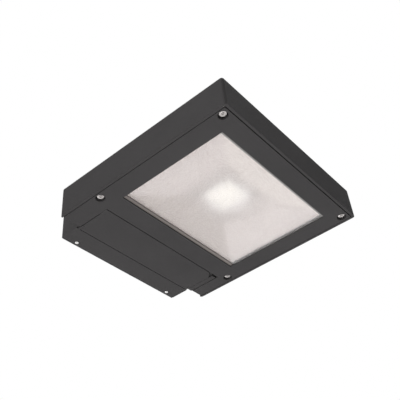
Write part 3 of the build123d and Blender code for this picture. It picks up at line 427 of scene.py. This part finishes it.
plainColours = {  # slot: name, colour, darker colour, roughness, metallic
    "silicone_rubber": ("siliconeRubber", rgb(0.27, 0.26, 0.25), rgb(0.22, 0.215, 0.21), 0.55),
    "green_steel": ("greenSteel", rgb(0.06, 0.30, 0.12), rgb(0.03, 0.20, 0.07), 0.35, 0.6),
    "black_plastic": ("blackPlastic", rgb(0.03, 0.03, 0.032), rgb(0.018, 0.018, 0.02), 0.45),
    "thermal_pad": ("thermalPad", rgb(0.35, 0.38, 0.43), rgb(0.28, 0.31, 0.36), 0.8),
    "white_plastic": ("whitePlastic", rgb(0.80, 0.80, 0.78), rgb(0.74, 0.74, 0.71), 0.45),
    "driver_case": ("driverCase", rgb(0.80, 0.80, 0.78), rgb(0.75, 0.75, 0.72), 0.5),
    "beige_plastic": ("beigePlastic", rgb(0.70, 0.64, 0.50), rgb(0.64, 0.58, 0.44), 0.45),
    "black_wire": ("blackInsulation", rgb(0.022, 0.022, 0.022), rgb(0.012, 0.012, 0.012), 0.4),
    "red_wire": ("redInsulation", rgb(0.48, 0.03, 0.03), rgb(0.38, 0.02, 0.02), 0.4),
    "green_wire": ("greenInsulation", rgb(0.04, 0.27, 0.09), rgb(0.03, 0.20, 0.06), 0.4),
    "white_wire": ("whiteInsulation", rgb(0.76, 0.76, 0.74), rgb(0.68, 0.68, 0.66), 0.4),
}
metalColours = {  # slot: name, colour, darker colour, roughness, stretch of the streaks
    "zinc_steel": ("zincSteel", rgb(0.47, 0.47, 0.455), rgb(0.34, 0.345, 0.335), 0.40),
    "bright_steel": ("brightSteel", rgb(0.74, 0.73, 0.72), rgb(0.62, 0.61, 0.60), 0.28),
    "brass": ("brassFinish", rgb(0.78, 0.60, 0.30), rgb(0.62, 0.45, 0.20), 0.30),
    "mill_aluminium": ("millAluminium", rgb(0.80, 0.80, 0.80), rgb(0.70, 0.70, 0.71), 0.38,
                       (1.0, 0.04, 1.0)),
}
materials = {
    "powder_coat": powderCoat(),
    "foam_rubber": foamFinish("foamRubber", rgb(0.035, 0.035, 0.037), rgb(0.014, 0.014, 0.015)),
    "lens_glass": frostedGlassWithPaintedValleys(),
    "board_white": boardTracksAndPaintedGlow(),
    "phosphor": phosphorFinish(),
    "white_coat": reflectorPaintedGlow(),
}
materials.update({slot: plainFinish(*values) for slot, values in plainColours.items()})
materials.update({slot: metalFinish(*values) for slot, values in metalColours.items()})
print("materials made:", len(materials))

ownFinish = {  # nodes whose finish differs from the rest of their slot
    "lens_channel": channelWithPaintedShade(),
    "door_screws": metalFinish("dullSteel", rgb(0.56, 0.53, 0.52), rgb(0.42, 0.40, 0.39), 0.40),
}
slotOf = {part["node"]: part["material_slot"] for part in frame["record"]["subparts"]}
for name, made in nodes.items():
    made.data.materials.clear()
    made.data.materials.append(ownFinish.get(name, materials[slotOf[name]]))
print("materials given to", len(nodes), "nodes")


def outline(grid):
    # the numbers round the edge of a grid, once each
    return np.concatenate([grid[:-1, 0], grid[-1, :-1], grid[:0:-1, -1], grid[0, :0:-1]])


def prismLens():
    # Smooth below. Above, a height field of crossed ridges: height is the product of two
    # triangle waves, one along x and one along y, cut off at a flat border.
    low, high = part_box("lens")
    pitch, border, edge = glassLook["pitch"], glassLook["border"], glassLook["edge"]
    step = pitch / glassLook["samplesPerPrism"]

    def samples(start, end):
        count = round((end - start - 2 * border) / step) + 1
        return np.concatenate([[start, start + edge],
                               np.linspace(start + border, end - border, count),
                               [end - edge, end]])

    def wave(place, start):
        return 1 - np.abs(2 * (((place - start - border) / pitch) % 1.0) - 1)

    def within(place, start, end, margin):
        return (place >= start + margin) & (place <= end - margin)

    x, y = np.meshgrid(samples(low.x, high.x), samples(low.y, high.y), indexing="ij")
    rim = (x == low.x) | (x == high.x) | (y == low.y) | (y == high.y)
    ridged = within(x, low.x, high.x, border) & within(y, low.y, high.y, border)
    dip = glassLook["ridge"] * (1 - wave(x, low.x) * wave(y, low.y))
    top = np.where(rim, high.z - edge, high.z - np.where(ridged, dip, 0.0))
    rows, columns = x.shape
    upper = np.stack([x, y, top], -1).reshape(-1, 3)
    # the underside is one flat face with a bevel round it that meets the upper grid's outline
    lower = np.stack([x, y, np.where(rim, low.z + edge, low.z)], -1).reshape(-1, 3)
    index = np.arange(rows * columns).reshape(rows, columns)
    loop = outline(index)
    after = np.roll(loop, -1)
    below = rows * columns
    sides = np.stack([loop, after, after + below, loop + below], 1)[:, ::-1]
    quads = gridFaces(rows, columns, below).reshape(rows - 1, columns - 1, 4)
    bevel = np.concatenate([quads[0], quads[-1], quads[1:-1, 0], quads[1:-1, -1]])
    flat = outline(index[1:-1, 1:-1]) + below
    faces = [*gridFaces(rows, columns, flip=True), *sides, *bevel, flat[::-1]]
    made = meshObject("prismatic_lens", np.concatenate([upper, lower]), faces,
                      materials["lens_glass"], smooth=False)
    closePoles(made)
    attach(made, "door")
    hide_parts("lens")


prismLens()
print("lens made")


screwLook = {
    "aroundSamples": 30,
    "samplesPerThread": 5,
    "threadPitch": 0.8 * mm,
    "threadDepth": 0.32 * mm,
    "headEdge": 0.5 * mm,
    "tipBevel": 0.6 * mm,
    "socketLip": 1.08,  # width of the socket's mouth, in widths of the socket
    "mouthDepth": 0.1,  # depth of that mouth, in half widths of the socket
}
# node: CAD body, head radius, head height, shank radius, half width of the hexagon, its depth
# and the radius of the post that stands in it, all in mm
screwSets = {
    "door_screws": ("door", 5.5, 3.2, 2.5, 2.0, 1.8, 0.6),
    "housing_screws": ("fixture", 3.6, 2.2, 2.0, 1.7, 1.2, 0.0),
    "heat_block_screws": ("fixture", 3.6, 2.2, 2.0, 1.7, 1.2, 0.0),
    "driver_screws": ("fixture", 3.6, 2.2, 2.0, 1.7, 1.2, 0.0),
    "reflector_screws": ("fixture", 2.6, 1.5, 1.5, 1.2, 0.8, 0.0),
}


def screwShape(length, head, headHeight, shank, flat, depth, post):
    # Radius and height as functions of the angle, from the tip down to the socket. The shank's
    # radius is shank - threadDepth * wave(height / threadPitch - angle / turn), with a triangle
    # wave; the socket's radius is flat / cos(angle from the middle of the nearest flat).
    around = screwLook["aroundSamples"]
    angle = np.linspace(0, 2 * np.pi, around, endpoint=False)
    sixth = np.pi / 3
    hexagon = flat / np.cos((angle + sixth / 2) % sixth - sixth / 2)
    pitch, bevel = screwLook["threadPitch"], screwLook["tipBevel"]
    edge = screwLook["headEdge"]
    rows = [(0.0, length), (shank - bevel, length)]
    count = int((length - headHeight) / pitch * screwLook["samplesPerThread"])
    for z in np.linspace(length - bevel, headHeight + bevel, count):
        wave = np.abs(2 * ((z / pitch - angle / (2 * np.pi)) % 1.0) - 1)
        rows.append((shank - screwLook["threadDepth"] * wave, z))
    rows += [(shank, headHeight), (head, headHeight)]
    rows += [(head - edge + edge * np.cos(turn), edge - edge * np.sin(turn))
             for turn in np.linspace(0, np.pi / 2, 5)]
    rows += [(hexagon * screwLook["socketLip"], 0.0),
             (hexagon, screwLook["mouthDepth"] * flat), (hexagon, depth)]
    if post:
        rows += [(post, depth), (post, 0.3 * depth), (0.7 * post, 0.2 * depth)]
    rows.append((0.0, rows[-1][1]))
    radius, level = [np.array([np.broadcast_to(row[i], around) for row in rows])
                     for i in range(2)]
    return np.stack([radius * np.cos(angle), radius * np.sin(angle), level], -1)


def screwPieces():
    for node, (body, *sizes) in screwSets.items():
        low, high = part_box(node)
        head = sizes[0] * mm
        shape = screwShape(high.z - low.z, *[size * mm for size in sizes])
        rows, columns = shape.shape[:2]
        # one screw stands in each corner of the node's box
        spots = sorted({(round(x, 6), round(y, 6)) for x in (low.x + head, high.x - head)
                        for y in (low.y + head, high.y - head)})
        points = np.concatenate([shape.reshape(-1, 3) + (x, y, low.z) for x, y in spots])
        faces = np.concatenate([gridFaces(rows, columns, i * rows * columns,
                                          closeColumns=True, flip=True)
                                for i in range(len(spots))])
        made = meshObject(node + "_threaded", points, faces, nodes[node].data.materials[0])
        closePoles(made)
        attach(made, body)
        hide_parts(node)


def roundedLoop(halfX, halfY, radius, perCorner=9):
    # points and outward directions round a rectangle with round corners
    points, outward = [], []
    for quarter, (sideX, sideY) in enumerate(((1, 1), (-1, 1), (-1, -1), (1, -1))):
        angle = (quarter + np.linspace(0, 1, perCorner)) * np.pi / 2
        direction = np.stack([np.cos(angle), np.sin(angle)], 1)
        points.append(direction * radius + (sideX * (halfX - radius), sideY * (halfY - radius)))
        outward.append(direction)
    return np.concatenate(points), np.concatenate(outward)


sealLook = {
    "foot": 1.5 * mm,
    "footHeight": 1.3 * mm,
    "neck": 0.95 * mm,
    "bulb": 1.5 * mm,
    "cornerRadius": 4.5 * mm,
}


def doorSeal():
    # the section is a foot, a narrow neck and a round bulb, carried along a loop round the lens:
    # point = loop(u) + outward(u) * across(v), height = up(v)
    low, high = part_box("door_seal")
    foot, neck, bulb = sealLook["foot"], sealLook["neck"], sealLook["bulb"]
    rise, tall = sealLook["footHeight"], high.z - low.z
    middle = np.array([(low.x + high.x) / 2, (low.y + high.y) / 2])
    loop, outward = roundedLoop((high.x - low.x) / 2 - foot, (high.y - low.y) / 2 - foot,
                                sealLook["cornerRadius"])
    angle = np.linspace(-0.25 * np.pi, 1.25 * np.pi, 15)
    across = np.concatenate([[foot, foot, neck], bulb * np.cos(angle), [-neck, -foot, -foot]])
    up = np.concatenate([[0, 0.8 * rise, rise], tall - bulb + bulb * np.sin(angle),
                         [rise, 0.8 * rise, 0]])
    flat = loop[:, None, :] + outward[:, None, :] * across[None, :, None] + middle
    heights = np.broadcast_to(low.z + up, flat.shape[:2])
    points = np.concatenate([flat, heights[..., None]], -1).reshape(-1, 3)
    faces = gridFaces(len(loop), len(across), closeRows=True, closeColumns=True, flip=True)
    made = meshObject("door_seal_bulb", points, faces, materials["foam_rubber"])
    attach(made, "door")
    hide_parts("door_seal")


driverLook = {
    "endTab": 8.0 * mm,
    "corner": 3.0 * mm,
    # how far each ring lies inside the case and below its bottom, in mm
    "rings": ((2.6, -0.2), (2.6, 0.49), (2.9, 0.7), (9.0, 0.7), (9.3, 0.28), (10.3, 0.28),
              (10.6, 0.7)),
}


def driverLid():
    # rounded rectangles stacked as rings: a low step, a shallow groove and a raised middle;
    # the first and the last ring close on a point at their own level
    low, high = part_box("driver")
    middle = np.array([(low.x + high.x) / 2, (low.y + high.y) / 2, low.z])
    halfX, halfY = (high.x - low.x) / 2 - driverLook["endTab"], (high.y - low.y) / 2
    rings = []
    for inward, down in driverLook["rings"]:
        loop, outward = roundedLoop(halfX - inward * mm, halfY - inward * mm,
                                    driverLook["corner"])
        rings.append(np.column_stack([loop, np.full(len(loop), -down * mm)]))
    shape = np.array([rings[0] * (0, 0, 1), *rings, rings[-1] * (0, 0, 1)]) + middle
    faces = gridFaces(*shape.shape[:2], closeColumns=True, flip=True)
    made = meshObject("driver_lid", shape.reshape(-1, 3), faces, materials["driver_case"],
                      smooth=False)
    closePoles(made)
    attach(made, "fixture")


domeLook = {
    "perSide": 5,
    "halfEmitter": 1.8 * mm,
    "radius": 1.45 * mm,
    "rise": 0.5 * mm,
    "aroundSamples": 24,
    "slantSamples": 7,
}


def emitterDomes():
    # a domed cap on each emitter: radius * cos(v) wide and rise * sin(v) deep
    low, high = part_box("led_emitters")
    around, half = domeLook["aroundSamples"], domeLook["halfEmitter"]
    angle = np.linspace(0, 2 * np.pi, around, endpoint=False)
    slant = np.linspace(0, np.pi / 2, domeLook["slantSamples"])
    ring = domeLook["radius"] * np.cos(slant)[:, None]
    drop = domeLook["rise"] * np.sin(slant)[:, None] + np.zeros(around)
    cap = np.stack([ring * np.cos(angle), ring * np.sin(angle), low.z - drop], -1)
    cap = cap.reshape(-1, 3)
    cap = np.concatenate([cap[:around] * (0, 0, 1), cap])
    points, faces = [], []
    for x in np.linspace(low.x + half, high.x - half, domeLook["perSide"]):
        for y in np.linspace(low.y + half, high.y - half, domeLook["perSide"]):
            faces.append(gridFaces(len(slant) + 1, around, len(points) * len(cap),
                                   closeColumns=True, flip=True))
            points.append(cap + (x, y, 0))
    made = meshObject("emitter_domes", np.concatenate(points), np.concatenate(faces),
                      materials["phosphor"])
    closePoles(made)
    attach(made, "fixture")


screwPieces()
doorSeal()
driverLid()
emitterDomes()
print("screws, seal and emitter caps made")


studio = {
    "floorLevel": -1.25,
    "floorRadius": 3.2,
    "floorCorners": 64,
    "fadeFrom": 0.45,  # where the floor starts to fade out, in floor radii
    "fadeTo": 0.98,
    "floorColour": rgb(0.86, 0.86, 0.86),
    "floorShade": rgb(0.85, 0.85, 0.85),
    "floorGrain": 8.0,
    "worldColour": rgb(1.0, 1.0, 1.0),
    "worldStrength": 0.29,
    "lampTarget": (0.0, -0.2, -0.02),
}
lamps = {
    "lowLeft": {"at": (-2.4, 0.6, -0.6), "size": 1.6, "power": 34.0},
    "lowRight": {"at": (1.9, 0.2, -1.0), "size": 1.6, "power": 14.0},
    "above": {"at": (0.15, -0.1, 2.1), "size": 2.0, "power": 142.0},
}
cameraView = {
    "at": (-0.64401, -0.66342, -0.68694),
    "turn": (130.6116, 4.2554, -49.5113),
    "lens": 59.199,
    "sensor": 36.0,
    "nearest": 0.02,
}


def studioFloor():
    f = Finish("studioFloor")
    here = f.place()
    x, y, z = f.axes(here)
    reach, radius = (x * x + y * y).do("SQRT"), studio["floorRadius"]
    fade = f.spread(reach, studio["fadeFrom"] * radius, studio["fadeTo"] * radius)
    grain = f.noise(here, studio["floorGrain"], 2.0, 0.5)
    colour = f.blend(f.ranged(grain), studio["floorShade"], studio["floorColour"])
    diffuse = f.node("ShaderNodeBsdfDiffuse", {}, {"Color": colour})
    clear = f.node("ShaderNodeBsdfTransparent")
    mixed = f.node("ShaderNodeMixShader", {}, {0: fade, 1: diffuse, 2: clear})
    f.node("ShaderNodeOutputMaterial", {}, {"Surface": mixed})
    corners = studio["floorCorners"]
    angle = np.linspace(0, 2 * np.pi, corners, endpoint=False)
    ring = np.stack([np.cos(angle), np.sin(angle), np.zeros(corners)], 1) * radius
    floor = meshObject("studio_floor", ring + (0, 0, studio["floorLevel"]),
                       [list(range(corners))], f.owner)


def studioWorld():
    # white where the camera, a reflection or the glass sees it, dimmer as light on the object
    f = Finish("studioWorld", "worlds")
    camera, glossy, transmission = [
        f.node("ShaderNodeLightPath", output=ray)
        for ray in ("Is Camera Ray", "Is Glossy Ray", "Is Transmission Ray")]
    seen = camera.do("MAXIMUM", glossy).do("MAXIMUM", transmission)
    strength = f.spread(seen, 0.0, 1.0, studio["worldStrength"], 1.0)
    background = f.node("ShaderNodeBackground", {},
                        {"Color": studio["worldColour"], "Strength": strength})
    f.node("ShaderNodeOutputWorld", {}, {"Surface": background})
    bpy.context.scene.world = f.owner


def studioLamps():
    for name, lamp in lamps.items():
        light = bpy.data.lights.new(name, "AREA")
        light.shape = "DISK"
        light.size = lamp["size"]
        light.energy = lamp["power"]
        made = bpy.data.objects.new(name, light)
        bpy.context.scene.collection.objects.link(made)
        made.location = lamp["at"]
        away = Vector(lamp["at"]) - Vector(studio["lampTarget"])
        made.rotation_mode = "QUATERNION"
        made.rotation_quaternion = away.to_track_quat("Z", "Y")


def photoCamera():
    camera = bpy.data.cameras.new("photoCamera")
    camera.lens = cameraView["lens"]
    camera.sensor_width = cameraView["sensor"]
    camera.sensor_fit = "HORIZONTAL"
    camera.clip_start = cameraView["nearest"]
    made = bpy.data.objects.new("photoCamera", camera)
    bpy.context.scene.collection.objects.link(made)
    made.location = cameraView["at"]
    made.rotation_euler = [math.radians(a) for a in cameraView["turn"]]
    bpy.context.scene.camera = made


studioFloor()
studioWorld()
studioLamps()
photoCamera()
bpy.context.scene.view_settings.view_transform = "Standard"
print("studio made")
